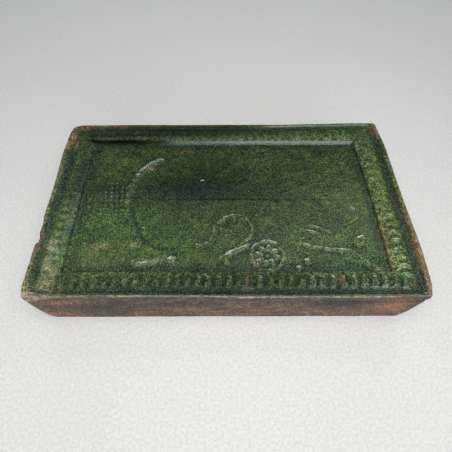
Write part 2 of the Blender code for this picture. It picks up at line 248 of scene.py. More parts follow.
# the scales stamped round the rim
stamps = {
    "rise": 1.5,
    "halfBand": 6.0,
    "roundness": 0.7,    # how far the front edge curves back, in half bands
    # heading, first front edge, pitch, spread per mm, strength at the start and the end
    "near": (0, 131.5, 7.85, 0.0, 0.8, 1.15),
    "far": (180, 130.0, 7.85, 0.0, 0.45, 0.35),
    "top": (90, -40.3, 7.75, 0.018, 1.05, 0.25),
    "foot": (270, 40.0, 7.85, 0.0, 0.25, 0.95),
    "strengthRun": (-110, 60),    # along each side, the start and end of that
    "evenness": (0.75, 1.15),    # each scale's own share of it
    # where one scale rises and falls within its pitch, and how square its ends are: narrow on
    # the top end, wide elsewhere, and there with a softer inner end
    "narrow": (0.1, 0.42, 0.58, 0.95, 4),
    "wide": (0.05, 0.34, 0.68, 0.98, 2.6),
    "innerFade": 1.7,
    "seed": 11,
}


# height of the scales over the band and depth of the hollows between them, for rim row numbers
# and rest places
def scaleHeight(rowX, rowY, x, y):
    row = np.minimum(rowX, rowY)
    across = np.clip((row - tile["bandRow"] - 0.5) * 2, -1, 1)
    onEnd = rowX < rowY
    setBack = stamps["halfBand"] * stamps["roundness"] * (1 - np.sqrt(1 - 0.98 * across * across))
    height, hollow = np.zeros(x.shape), np.zeros(x.shape)
    order = random.Random(stamps["seed"])
    for side, mask in (
        ("near", ~onEnd & (y < 0)), ("far", ~onEnd & (y > 0)),
        ("top", onEnd & (x > 0)), ("foot", onEnd & (x < 0)),
    ):
        heading, front, pitch, spread, first, last = stamps[side]
        turn = math.radians(heading)
        run = x * math.cos(turn) + y * math.sin(turn)
        counted = (run + setBack - front) / pitch
        if spread:
            counted = np.log(np.maximum(1 + spread * counted, 0.05)) / spread
        number = np.floor(counted)
        share = counted - number
        lowest, highest = int(number.min()), int(number.max())
        pads = {n: order.uniform(*stamps["evenness"]) for n in range(lowest, highest + 1)}
        each = np.vectorize(pads.get)(number.astype(int))
        strength = first + (last - first) * eased(run, *stamps["strengthRun"])
        rises, full, falls, ends, square = stamps["narrow" if side == "top" else "wide"]
        pad = eased(share, rises, full) * (1 - eased(share, falls, ends))
        inner = (1 - across * across) ** stamps["innerFade"]
        edgeFade = np.where((across > 0) & (side != "top"), inner, 1 - np.abs(across) ** square)
        height = np.where(mask, stamps["rise"] * strength * each * pad * edgeFade, height)
        hollow = np.where(mask, strength * (1 - pad) * (1 - np.abs(across) ** 3), hollow)
    inBand = (row > tile["bandRow"]) & (row < tile["bandRow"] + 1)
    return np.where(inBand, height, 0), np.where(inBand, hollow, 0)


# the relief on the field, drawn once and mirrored about the tile's long axis
relief = {
    # width, rise on the near half and on the more worn far half, points
    "strokes": [
        (8.0, 0.2, 1.6, [
            (-87, -1), (-86, 10), (-84, 19), (-79.5, 29), (-74.5, 36), (-69, 41.5), (-62, 45.5)]),
        (3.6, 0.5, 0.42, [(-62, 45.5), (-55, 46), (-48.5, 47), (-43, 51.5)]),
        (6.8, 1.3, 0.2, [(-73, 61), (-67, 62.5), (-60, 60.5), (-52, 58), (-45, 58)]),
        (3.8, 1.05, 0.2, [
            (-25, 45), (-16, 44), (-11.5, 36), (-9, 27), (-1, 19), (9, 16.5), (18, 21), (21.5, 30),
            (17.5, 40), (6, 49), (-6, 57.5)]),
        (4.8, 2.5, 0.3, [(17, 46), (8, 50.5), (1, 55), (0, 61)]),
        (2.2, 1.1, 0.2, [(-26, 66.5), (-22, 64.5), (-19, 63.5)]),
        (4.0, 1.15, 0.18, [
            (60, 42.5), (66, 46), (76, 48.2), (90, 49.8), (102, 52), (110, 58.5), (119, 66.5)]),
        (3.6, 1.05, 0.18, [(61, 30.5), (69, 32.7), (78, 34.6)]),
        (3.6, 1.05, 0.18, [(68, 26), (76, 29.3), (88, 34)]),
        (2.4, 0.7, 0.2, [(57, 48.5), (61, 41), (65, 35)]),
        (2.8, 0.3, 0.25, [(38, 1.4), (48, 5), (60, 12), (80, 19), (103, 24)]),
        (2.2, 1.0, 0.3, [(103.2, 53.2), (98, 57)]),
        (2.2, 0.8, 0.3, [(99.5, 27), (111, 19)]),
        (2.0, 0.7, 0.3, [(91, 7.5), (99.5, 7.5)]),
    ],
    # centre x, |y|, radius
    "knobs": [
        (-42.9, 58, 2.9), (-21.2, 20.5, 2.2), (-31.5, 20.5, 2.2), (-27, 27, 1.8), (50.5, 60.5, 2.0),
        (56.5, 66.4, 3.0), (64, 60.5, 3.6), (65.7, 53, 2.1), (69.7, 40.4, 1.7), (57, 49.5, 1.8),
        (99, 59.5, 1.8), (105, 62.7, 1.6), (36.5, 28, 1.8), (112.5, 38, 2.6), (105.5, 44.5, 1.9),
        (112, 64, 2.0), (107.7, 31, 1.5), (99.5, 32.7, 1.4), (26, 16, 1.6), (33, 35.5, 1.4),
        (87.3, -3.2, 1.3), (111, 65, 1.6), (-112.5, 37, 1.5), (-69.4, 28, 1.7),
    ],
    "knobRise": 0.7,    # in radii
    # width, depth, points: pressed lines of the near half
    "grooves": [
        (5.0, 0.85, [
            (-86, -6), (-83.5, 5), (-80, 15), (-75.5, 27), (-71.5, 35), (-66.5, 41.4), (-60.5, 46),
            (-53.5, 48), (-46, 47.4), (-42.3, 51), (-42, 55)]),
        (2.8, 0.5, [(-22, 47), (-12, 46), (-7, 37), (-5, 29), (2, 22)]),
        (2.6, 0.5, [(24, 22), (26, 31), (23, 39)]),
        (2.4, 0.35, [(58, 45), (68, 49), (88, 53), (100, 56)]),
        (2.2, 0.3, [(-112, 16), (-95, 20), (-88, 12)]),
    ],
    # centre, radius, rise: knobs left on the far half
    "farKnobs": [
        (-21.6, 20.6, 2.6, 1.3), (-30, 15.5, 3.6, 1.2), (113, 62.5, 1.7, 0.8), (110, 42, 3.2, 1.2)],
    # leaf dashes: place, all turned the same way
    "dashes": [(6.5, 20), (12.5, 20.5), (8.5, 26), (4, 31.5), (-0.5, 36.2), (10, 36), (4.5, 40.5),
               (-7.5, 37.8), (-4.5, 29)],
    "dashSize": (2.8, 1.5, 1.1),
    "dashTurn": 50,
    "boss": (109, 42, 5.6, 1.9),    # place, radius, rise
    "stem": (-48, 44, 2.8, 0.22),    # on the long axis: from, to, width, rise
    "farStrength": 0.22,    # the far half is more worn
    "lineRoundness": 1.3,
    "knobRoundness": 0.7,
    "grooveStop": 0.8,    # no groove shows on relief of this height
    "grooveShade": 1.9,    # how dark its glaze is, per mm
    # the glaze is thin and paler on the near half's raised lines: share, heights, nearer than
    "thinGlaze": (0.75, 0.25, 1.45, -12),
}
rosette = {
    "place": (32.6, 55.0), "radius": 14.6, "ring": (3.4, 1.6), "petals": 8, "turn": 0.25,
    "petal": (4.5, 2.7, 2.3), "petalPlace": 0.49, "heart": (2.4, 1.8),
    "gapShade": (0.8, 1.1),    # how dark between the petals, up to this height
}
foot = {
    "from": -110, "to": -86, "halfBase": 22, "halfNeck": 19, "pitch": (4.6, 4.8), "slant": 0.12,
    "rise": 0.6, "knot": (0.1, 1.3), "margin": 2, "nearFade": (0.55, -2, 10), "gapShade": 0.8,
    "ledge": (-110, -92, 46.5, 2.0, 0.8),    # from, to, |y|, width, rise
}


# one raised shape added to the field: keeps the higher of what is there and the new shape
def raiseWhere(height, x, y, box, shape):
    lowX, lowY, highX, highY = box
    near = (x >= lowX) & (x <= highX) & (y >= lowY) & (y <= highY)
    if near.any():
        height[near] = np.maximum(height[near], shape(x[near], y[near]))


def addStroke(height, x, y, points, width, rise):
    path = smoothPath(points)
    reach = width / 2
    xs, ys = [p[0] for p in path], [p[1] for p in path]
    box = (min(xs) - reach, min(ys) - reach, max(xs) + reach, max(ys) + reach)

    def shape(px, py):
        nearest = np.full(px.shape, 1e6)
        for (ax, ay), (bx, by) in zip(path, path[1:]):
            dx, dy = bx - ax, by - ay
            share = np.clip(((px - ax) * dx + (py - ay) * dy) / (dx * dx + dy * dy), 0, 1)
            nearest = np.minimum(nearest, np.hypot(px - ax - share * dx, py - ay - share * dy))
        return rise * np.clip(1 - (nearest / reach) ** relief["lineRoundness"], 0, 1)

    raiseWhere(height, x, y, box, shape)


def addKnob(height, x, y, centre, sizes, turn=0):
    longHalf, shortHalf, rise = sizes
    cosine, sine = math.cos(turn), math.sin(turn)
    box = (centre[0] - longHalf, centre[1] - longHalf, centre[0] + longHalf, centre[1] + longHalf)

    def shape(px, py):
        dx, dy = px - centre[0], py - centre[1]
        lengthwise = ((dx * cosine + dy * sine) / longHalf) ** 2
        crosswise = ((dy * cosine - dx * sine) / shortHalf) ** 2
        return rise * np.clip(1 - (lengthwise + crosswise) ** relief["knobRoundness"], 0, 1)

    raiseWhere(height, x, y, box, shape)


def addRosette(height, x, y):
    centreX, centreY = rosette["place"]
    radius = rosette["radius"]
    ringWidth, ringRise = rosette["ring"]
    turns = [2 * math.pi * k / 40 for k in range(41)]
    ringMiddle = radius - ringWidth / 2
    ring = [(centreX + ringMiddle * math.cos(t), centreY + ringMiddle * math.sin(t)) for t in turns]
    addStroke(height, x, y, ring, ringWidth, ringRise)
    for petal in range(rosette["petals"]):
        turn = 2 * math.pi * (petal + rosette["turn"]) / rosette["petals"]
        reach = rosette["petalPlace"] * radius
        place = (centreX + reach * math.cos(turn), centreY + reach * math.sin(turn))
        addKnob(height, x, y, place, rosette["petal"], turn)
    heartRadius, heartRise = rosette["heart"]
    addKnob(height, x, y, (centreX, centreY), (heartRadius, heartRadius, heartRise))


# the woven foot of the bowl: a net of small knots; returns the new height, and 1 on the knots
# down to -1 in the hollows between
def addFoot(height, x, y):
    spread = np.interp(x, (foot["from"], foot["to"]), (foot["halfBase"], foot["halfNeck"]))
    inside = (x > foot["from"]) & (x < foot["to"]) & (np.abs(y) < spread)
    pitchX, pitchY = foot["pitch"]
    net = np.cos(2 * math.pi * (x + foot["slant"] * y) / pitchX) + np.cos(2 * math.pi * y / pitchY)
    margin = foot["margin"]
    edge = eased(spread - np.abs(y), 0, margin)
    edge = edge * eased(x - foot["from"], 0, margin) * eased(foot["to"] - x, 0, margin)
    fade, fadeFrom, fadeTo = foot["nearFade"]
    edge = np.where(inside, edge * (1 - fade * eased(-y, fadeFrom, fadeTo)), 0)
    knots = eased(net, *foot["knot"]) * edge
    return np.where(knots > 0, np.maximum(height, foot["rise"] * knots), height), 2 * knots - edge


# the height of the relief, how much of a hollow each point is, and how thin its glaze lies
def fieldRelief(x, y):
    height = np.zeros(x.shape)
    for side in (1, -1):
        half = np.zeros(x.shape)
        strength = 1 if side == -1 else relief["farStrength"]
        for width, nearRise, farRise, points in relief["strokes"]:
            rise = nearRise if side == -1 else farRise / strength
            addStroke(half, x, y * side, points, width, rise)
        for cx, cy, radius in relief["knobs"]:
            addKnob(half, x, y * side, (cx, cy), (radius, radius, relief["knobRise"] * radius))
        for place in relief["dashes"]:
            addKnob(half, x, y * side, place, relief["dashSize"], math.radians(-relief["dashTurn"]))
        bossX, bossY, bossRadius, bossRise = relief["boss"]
        addKnob(half, x, y * side, (bossX, bossY), (bossRadius, bossRadius, bossRise))
        ledgeFrom, ledgeTo, ledgeY, ledgeWidth, ledgeRise = foot["ledge"]
        addStroke(half, x, y * side, [(ledgeFrom, ledgeY), (ledgeTo, ledgeY)], ledgeWidth, ledgeRise)
        addRosette(half, x, y * side)
        height = np.maximum(height, half * strength)
    lines = np.zeros(x.shape)
    for width, depth, points in relief["grooves"]:
        pressed = np.zeros(x.shape)
        addStroke(pressed, x, -y, points, width, depth)
        pressed = pressed * (1 - straight(height, 0, relief["grooveStop"]))
        height = height - pressed
        lines = np.maximum(lines, pressed)
    for cx, cy, radius, rise in relief["farKnobs"]:
        addKnob(height, x, y, (cx, cy), (radius, radius, rise))
    stemFrom, stemTo, stemWidth, stemRise = relief["stem"]
    addStroke(height, x, y, [(stemFrom, 0), (stemTo, 0)], stemWidth, stemRise)
    centreX, centreY = rosette["place"]
    gapShade, gapTop = rosette["gapShade"]
    within = np.hypot(x - centreX, y + centreY) < rosette["radius"]
    gaps = np.where(within, gapShade * (1 - straight(height, 0, gapTop)), 0)
    height, net = addFoot(height, x, y)
    hollow = np.maximum(relief["grooveShade"] * lines, np.maximum(gaps, -foot["gapShade"] * net))
    share, thinFrom, thinTo, nearer = relief["thinGlaze"]
    thin = share * straight(height, thinFrom, thinTo) * (1 - eased(y, nearer, 0))
    return height, hollow, np.maximum(net, thin)


# each chip is the hollow left by a ball: centre, radii, turn in degrees
chips = [
    ((-156, -39.5, 62), (10, 9.5, 10), 8), ((-154.5, -63, 61), (3.6, 4, 5), 30),
    ((-158, 94, 63), (10, 10, 7), 0), ((-118, 91, 61), (5, 3.8, 4), 15),
    ((159, 98.5, 61), (12.5, 12.5, 12), 50), ((154.5, 57, 61), (3.4, 4.4, 5), 20),
    ((-161, -99, 64), (12.0, 12.0, 8), 45), ((127, -93, 61.5), (14, 4.2, 4), 5),
    ((-156, -28, 62), (6.2, 9, 9), 0),
]
# how rough the breaks are: depth as a share of the radii, size, drift
breakSway = [(0.07, 2.6, 5), (0.05, 1.2, 9)]


# moves points out of the chips' balls; returns the new places and where they are bare
def chipped(x, y, z):
    bare = np.zeros(x.shape)
    for number, (centre, radii, turn) in enumerate(chips):
        cosine, sine = math.cos(math.radians(turn)), math.sin(math.radians(turn))
        dx, dy, dz = x - centre[0], y - centre[1], z - centre[2]
        ahead, aside = dx * cosine + dy * sine, dy * cosine - dx * sine
        (depth, size, drift), fine = breakSway
        rough = 1 + sway(x, y, z, [(depth, size, drift + number), fine])
        reach = np.sqrt((ahead / radii[0]) ** 2 + (aside / radii[1]) ** 2 + (dz / radii[2]) ** 2)
        inside = reach < rough
        grow = np.where(inside, rough / np.maximum(reach, 0.05), 1)
        x = centre[0] + grow * (ahead * cosine - aside * sine)
        y = centre[1] + grow * (ahead * sine + aside * cosine)
        z = centre[2] + grow * dz
        bare = np.maximum(bare, np.where(inside, 1, 0))
    return x, y, z, bare


# soft patches where the finish changes, by kind: place, reach, strength
patches = {
    "tan": [
        ((-69, 35.8, 53), (3.4, 2.2, 6), 1.2), ((-98, 47.6, 53), (10, 0.9, 6), 0.35),
        ((-75, -45, 53), (4, 2.4, 6), 0.5), ((-104, -45.5, 53), (8, 3, 6), 0.45),
        ((-100, -58, 53), (22, 10, 6), 0.14), ((-92, -70.3, 56), (34, 0.7, 4), 0.4),
        ((15.2, -79, 58), (1.3, 5.5, 6), 0.9), ((13.4, -83.4, 58), (1.8, 1.4, 6), 0.8),
        ((18.1, -83.8, 58), (2.2, 1.0, 6), 0.8), ((24, -60.5, 53), (3.2, 2.6, 6), 0.8),
        ((109.5, -8.2, 53), (3.0, 3.5, 6), 0.5), ((119.5, -67.3, 53), (3, 2, 6), 0.4),
        ((-112, -62, 53), (2, 4, 6), 0.35), ((-136, -80, 58), (9, 5, 8), 0.5),
        ((-149, -82, 58), (3, 6, 8), 0.6), ((-139, -64, 58), (3, 7, 8), 0.5),
        ((-133, -70, 58), (4, 5, 8), 0.5), ((-139.5, -47, 58), (3.4, 4, 8), 0.6),
    ],
    "rust": [
        ((-98, 24, 53), (10, 4, 6), 0.15), ((-41, 57, 53), (9, 3, 6), 0.25),
        ((86.6, -78.5, 58), (1.8, 3.4, 6), 0.9), ((-147.5, 72, 59), (2.2, 8, 5), 1.0),
        ((-143.5, 64, 59), (1.5, 8, 5), 0.85), ((-151, 60, 60), (1.8, 5, 5), 1.0),
        ((-137, 84, 60), (5, 3.0, 4), 0.8), ((-132, 86.3, 60), (11, 2.0, 4), 0.85),
        ((-104, 86.4, 60), (9, 1.8, 4), 0.9), ((-67, 86, 60), (5, 1.5, 4), 0.5),
        ((148, 80, 60), (7, 8, 4), 0.8), ((152.5, 30, 60), (2.2, 50, 5), 0.8),
        ((151.5, -45, 60), (3.4, 36, 5), 0.8), ((-152, 15, 60), (2.0, 34, 5), 0.5),
        ((-151.6, -64, 59), (1.6, 14, 6), 0.6), ((128.6, -40, 56), (1.5, 28, 6), 0.3),
        ((138, -80, 58), (1.6, 2.0, 6), 0.5),
    ],
    # warm yellow-green glaze, and a painted highlight: the two entries on the far step's top edge
    # towards the foot end paint its lit edge
    "warmAndLitEdge": [
        ((-92, -47, 53), (14, 5, 6), 0.6), ((-60, -50, 53), (8, 4, 6), 0.5),
        ((95, 35, 53), (14, 12, 6), 0.5), ((118, -12, 53), (10, 20, 6), 0.45),
        ((85, 5, 53), (25, 12, 6), 0.35), ((136, 10, 58), (8, 60, 8), 0.7),
        ((-76, 70.4, 56.5), (17, 1.3, 4), 1.0), ((-110, 70.4, 56.5), (20, 1.2, 4), 0.5),
        ((-30, -76, 58), (60, 5, 6), 0.35),
    ],
    "bare": [
        ((153, -80, 59), (4.6, 15, 7), 1.2), ((131, -90, 57.5), (8, 2.0, 3), 0.9),
        ((-153.5, -62, 57), (2.2, 12, 6), 0.8), ((-150.6, -50, 57), (3.0, 9, 6), 1.1),
        ((-154, -14, 57), (2.4, 16, 6), 0.7),
    ],
    # where the grain is fainter
    "smooth": [
        ((-139, -50, 58), (12, 42, 8), 0.45), ((-95, -55, 53), (30, 16, 8), 0.35),
        ((20, -60, 53), (60, 18, 8), 0.15),
    ],
    # painted highlights: the glaze coloured pale bluish-white where it glints, on the bowl's arc, the
    # near band, the rosette and the foot end
    "paintedGlint": [
        ((-78, 31, 53), (3, 3, 6), 0.3), ((-73, 36.5, 53), (3.4, 3, 6), 0.45),
        ((-67, 41.5, 53), (3.6, 2.6, 6), 0.45), ((67, -81.5, 58), (8, 3.0, 4), 0.75),
        ((91, -83, 58), (3, 2.0, 4), 0.6), ((116, -83, 58), (16, 2.0, 4), 0.55),
        ((70, -72.5, 58), (9, 2.2, 4), 0.25), ((139, -77.6, 58), (3.5, 3.5, 6), 0.6),
        ((-58, -58.5, 53), (13, 2.4, 6), 0.4), ((-43, -60, 53), (3, 4, 6), 0.45),
        ((-137, -56, 58), (6, 24, 8), 0.12), ((32.6, -55, 53), (13, 13, 6), 0.14),
        ((-124.2, 79, 57), (0.9, 4.5, 6), 0.45), ((-127.4, 67, 56), (0.9, 7, 6), 0.4),
    ],
    "teal": [
        ((-144, 30, 57), (4, 30, 6), 0.5), ((-130, 32, 56), (5, 42, 6), 0.8),
        ((-147, -38, 57), (2.6, 30, 6), 0.8), ((-144.5, -72, 57), (2.4, 14, 6), 0.7),
        ((-102, 12, 53), (16, 10, 6), 0.6), ((-128, -31, 55), (4, 5, 6), 1.0),
        ((145, 62, 57), (5, 12, 6), 0.4), ((146, -68, 57), (3, 16, 6), 0.5),
        ((-35, 12, 53), (48, 11, 6), 0.75), ((-70, 2, 53), (50, 3, 6), 0.6),
        ((40, 0, 53), (40, 1.6, 6), 0.5), ((70, -60, 53), (45, 9, 6), 0.35),
        ((20, -88, 57), (150, 2.4, 4), 0.8), ((138, -77.6, 58), (4, 4, 6), 0.6),
    ],
    # brighter or darker: these strengths add up; the dark ones along the steps are painted shade
    "tone": [
        ((-50, 80, 58), (110, 10, 8), -0.6), ((-45, 12, 53), (50, 13, 6), -0.16),
        ((-95, -50, 53), (45, 30, 6), 0.12), ((-138, -55, 58), (12, 45, 8), 0.6),
        ((-145, 75, 58), (8, 12, 6), 0.3), ((136, -20, 58), (9, 70, 8), 0.28),
        ((137, -66, 58), (9, 12, 8), 0.5), ((110, -55, 53), (30, 22, 6), 0.2),
        ((20, -87, 57), (130, 3, 4), -0.4), ((15, 5, 53), (110, 36, 6), -0.1),
        ((10, -78, 58), (90, 8, 6), -0.38), ((145, -10, 57), (3.2, 80, 5), -0.5),
        ((-143.5, 40, 57), (3.2, 30, 5), -0.3), ((-131, 34, 57), (5, 42, 6), -0.42),
        ((-147, -38, 57), (2.0, 30, 5), -0.55), ((-144.5, -72, 57), (1.8, 14, 5), -0.55),
        ((-133, -1, 57), (5, 9, 6), -0.22), ((90, -78, 58), (50, 7, 6), -0.12),
        ((-105, 74.6, 57), (50, 2.4, 6), -0.4), ((-105, 68.6, 55), (50, 2.2, 4), -0.8),
        ((-141, -86, 58), (8, 1.1, 5), -0.7), ((-130, -83.5, 58), (5, 1.3, 5), -0.6),
        ((-105, 14, 53), (18, 10, 6), -0.3), ((20, 88, 60), (110, 2.5, 4), -0.35),
        ((-20, 28, 53), (72, 40, 6), -0.52), ((-40, -78, 58), (100, 8, 6), -0.12),
        ((98, 40, 53), (36, 32, 6), -0.26), ((0, -68, 53), (40, 12, 6), -0.15),
        ((100, -5, 53), (25, 50, 6), 0.15), ((-90, -10, 53), (30, 25, 6), 0.15),
        ((0, -70.5, 54), (125, 1.2, 5), -0.35), ((40, 1, 53), (75, 1.2, 6), -0.35),
    ],
    # reddish fired clay at the lip and the left end; on the near wall partly painted light: lighter and
    # redder towards its foot, at its right end and in a line at the crease on the left
    "emberAndPaintedLight": [
        ((131, -90, 26), (15, 8, 18), 1.2), ((-140, -90, 9), (17, 8, 6), 1.4),
        ((-132, -90, 42), (24, 8, 2.8), 1.6), ((-112, -90, 57.5), (30, 3, 3), 0.85),
        ((-5, -90, 4), (45, 8, 6), 0.5), ((-31, -90, 25), (17, 8, 5), 0.7),
        ((-151, -50, 57), (5, 12, 6), 0.8), ((-154, -16, 57), (4, 12, 6), 0.6),
        ((40, -90, 16), (50, 8, 12), 0.25), ((128, -91, 58), (10, 3, 3), 0.9),
        ((55, -90, 57), (60, 3, 3), 0.3),
    ],
    # soot streaks on the near wall, and painted shade: the wall darker along its top under the plate,
    # and a dark line under the lip at the left
    "sootAndShade": [
        ((0, -90, 45), (190, 8, 12), 0.6), ((-98, -90, 30), (36, 8, 20), 1.0),
        ((-45, -90, 36), (48, 8, 10), 0.9), ((40, -90, 38), (110, 8, 6), 0.5),
        ((86, -89, 34), (28, 8, 10), 1.0), ((90, -90, 41), (28, 8, 3.6), 2.2),
        ((-100, -90, 45), (60, 8, 3), 1.0),
    ],
}


def patchStrength(kind, x, y, z):
    total = np.zeros(x.shape)
    for (px, py, pz), (rx, ry, rz), strength in patches[kind]:
        apart = ((x - px) / rx) ** 2 + ((y - py) / ry) ** 2 + ((z - pz) / rz) ** 2
        here = strength * np.exp(-apart)
        total = total + here if kind == "tone" else np.maximum(total, here)
    return total


def addObject(name, data):
    made = bpy.data.objects.new(name, data)
    bpy.context.collection.objects.link(made)
    return made


# a flat grid, its border drawn out ring by ring and closed inside the collar; and the number
# of each vertex's ring, 0 on the face
def drawShell(cellsX, cellsY):
    shell = bmesh.new()
    bmesh.ops.create_grid(shell, x_segments=cellsX, y_segments=cellsY, size=1)
    ring = shell.verts.layers.int.new("ring")
    border = [edge for edge in shell.edges if edge.is_boundary]
    for number in range(1, len(tile["edge"]) + 1):
        drawn = bmesh.ops.extrude_edge_only(shell, edges=border)["geom"]
        for part in drawn:
            if isinstance(part, bmesh.types.BMVert):
                part[ring] = number
        border = [part for part in drawn if isinstance(part, bmesh.types.BMEdge) and part.is_boundary]
    bmesh.ops.contextual_create(shell, geom=border)
    shell.verts.ensure_lookup_table()
    return shell, np.array([vert[ring] for vert in shell.verts])


# the whole face on a grid: places, heights, rim rows, and how much the glaze pools, fills
# hollows and thins out on the relief
def shapeFace(rowsX, rowsY, restX, restY):
    rowX, rowY = np.meshgrid(rowsX, rowsY)
    x, y = np.meshgrid(restX, restY)
    row = np.minimum(rowX, rowY)
    onField = row >= lastRow
    sideDrop = np.where(y < 0, along(nearRim, rowY, 1), along(farRim, rowY, 1))
    onSide = eased(rowX - rowY, -tile["mitre"], tile["mitre"])
    drop = along(endRim, rowX, 1) * (1 - onSide) + sideDrop * onSide
    scales, hollow = scaleHeight(rowX, rowY, x, y)
    face = topHeight - drop + scales
    raised, pressed, thin = fieldRelief(x, y)
    wear = press["reliefLevel"] + sway(x, y, 0 * x, press["reliefSway"])
    face = np.where(onField, face + raised * np.clip(wear, *press["reliefRange"]), face)
    hollow = np.maximum(hollow, np.where(onField, np.clip(pressed, 0, 1), 0))
    thin = np.where(onField, thin, 0)

    crisp = face
    face = softened(face, press["softening"])
    atStep = eased(row, *tile["stepRows"]) * (row < lastRow) * (rowY < rowX)
    face = face + atStep * (y < 0) * eased(x, *press["nearStep"]) * (crisp - face)
    crispShare, crispFrom, crispTo = press["farStep"]
    lift = crispShare * (crisp - face) + sway(x, y, 0 * x, press["farStepSway"])
    face = face + atStep * (y > 0) * eased(x, crispFrom, crispTo) * lift
    footSpread, softFull, softFrom = press["footSoftening"]
    face = face + (1 - eased(x, softFull, softFrom)) * (softened(face, footSpread) - face)
    face = face + sway(x, y, 0 * x, press["faceSway"])
    pool = softened(face, press["poolReach"]) - face

    radius = np.interp(row, rimNumbers, [entry[3] for entry in tile["rim"]])
    nearInset, farInset = along(nearRim, row, 0), along(farRim, row, 0)
    middleY = (nearInset - farInset) / 2
    halfY = halfWidth - (nearInset + farInset) / 2
    x, y = roundCorners(x, y - middleY, halfLength - along(endRim, row, 0), halfY, radius)
    return x, y + middleY, face, row, pool, hollow, thin


# puts every ring below the face in its place
def placeRings(px, py, pz, level, squareX, squareY):
    lipHalfX, lipHalfY = halfLength - endRim[0][0], halfWidth - nearRim[0][0]
    for number, (footInset, topInset, sideInset, corner, height) in enumerate(tile["edge"], 1):
        here = level == number
        middle = (footInset - topInset) / 2
        ringHalfX = halfLength - (footInset + topInset) / 2
        ringHalfY = halfWidth - sideInset
        ringX, ringY = roundCorners(
            squareX[here] * ringHalfX / lipHalfX, squareY[here] * ringHalfY / lipHalfY,
            ringHalfX, ringHalfY, corner,
        )
        px[here], py[here], pz[here] = ringX + middle, ringY, height
    onWall = (level > 0) & (pz > 1) & (level <= tile["outerRings"])
    inset = press["wallInset"]
    for depth, size, drift, flat in press["wallSway"]:
        inset = inset + depth * unevenness(px, py, pz * flat, size, drift)
    outward = np.hypot(px / halfLength, py / halfWidth)
    px = px - np.where(onWall, inset * px / halfLength / outward, 0)
    py = py - np.where(onWall, inset * py / halfWidth / outward, 0)
    return px, py, pz


# where one finish meets the next, on the face and down the edge
finish = {
    "lipRows": (1.3, 2.4), "lipHeights": (53.0, 55.5),    # where the bare lip ends
    # on the right of the near side the glaze runs right up to the edge: from, to, nearer than;
    # and how far that shifts the lip's rows and heights
    "glazedLip": ((-30, 15), (126, 134), -80), "glazedShift": (1.3, 1.4, 3),
    # the near corner of the foot has a broad lip: at, reach, nearer than, shift in height
    "cornerLip": (-152, 20, -70, 9), "cornerRim": ((84.5, 86.5), -153, 14),
    "glazedFarLip": ((76, 84), 146),
    "rind": (43.5, 46), "wallTop": (43, 47),
    "dullFarLip": ((83, 86), (15, 60)),
    "dullSteps": [((-80, -40), 68.8, 3.2), ((-118, -108), -70.2, 2.0)],
    "greenLip": (0.85, -45, 36),
}


# how much every point has of each kind of finish
def finishMarks(px, py, pz, row, onFace, bare):
    starts, ends, nearer = finish["glazedLip"]
    firstShift, lastShift, heightShift = finish["glazedShift"]
    glazedLip = eased(px, *starts) * (1 - eased(px, *ends)) * (py < nearer)
    first, last = finish["lipRows"]
    lip = 1 - eased(row, first - firstShift * glazedLip, last - lastShift * glazedLip)
    span, at, reach = finish["cornerRim"]
    lip = onFace * np.maximum(lip, eased(-py, *span) * bell(px, at, reach))
    at, reach, nearer, shift = finish["cornerLip"]
    shifted = pz + heightShift * glazedLip + shift * bell(px, at, reach) * (py < nearer)
    lip = np.where(onFace, lip, eased(shifted, *finish["lipHeights"]))
    farSpan, farHalf = finish["glazedFarLip"]
    lip = lip * (1 - eased(py, *farSpan) * (np.abs(px) < farHalf))

    lipSpan, lipEnd = finish["dullFarLip"]
    dull = eased(py, *lipSpan) * (1 - eased(px, *lipEnd))
    for ends, at, reach in finish["dullSteps"]:
        dull = np.maximum(dull, (1 - eased(px, *ends)) * bell(py, at, reach))
    green, at, reach = finish["greenLip"]
    marks = {
        "lip": lip,
        "rind": np.where(onFace, 0, eased(pz, *finish["rind"])),
        "wall": np.where(onFace, 0, 1 - eased(pz, *finish["wallTop"])),
        "dull": np.where(onFace, dull, 0),
        "greenLip": green * bell(px, at, reach),
    }
    for kind in patches:
        marks[kind] = patchStrength(kind, px, py, pz)
    marks["bare"] = np.maximum(bare, marks["bare"])
    return marks


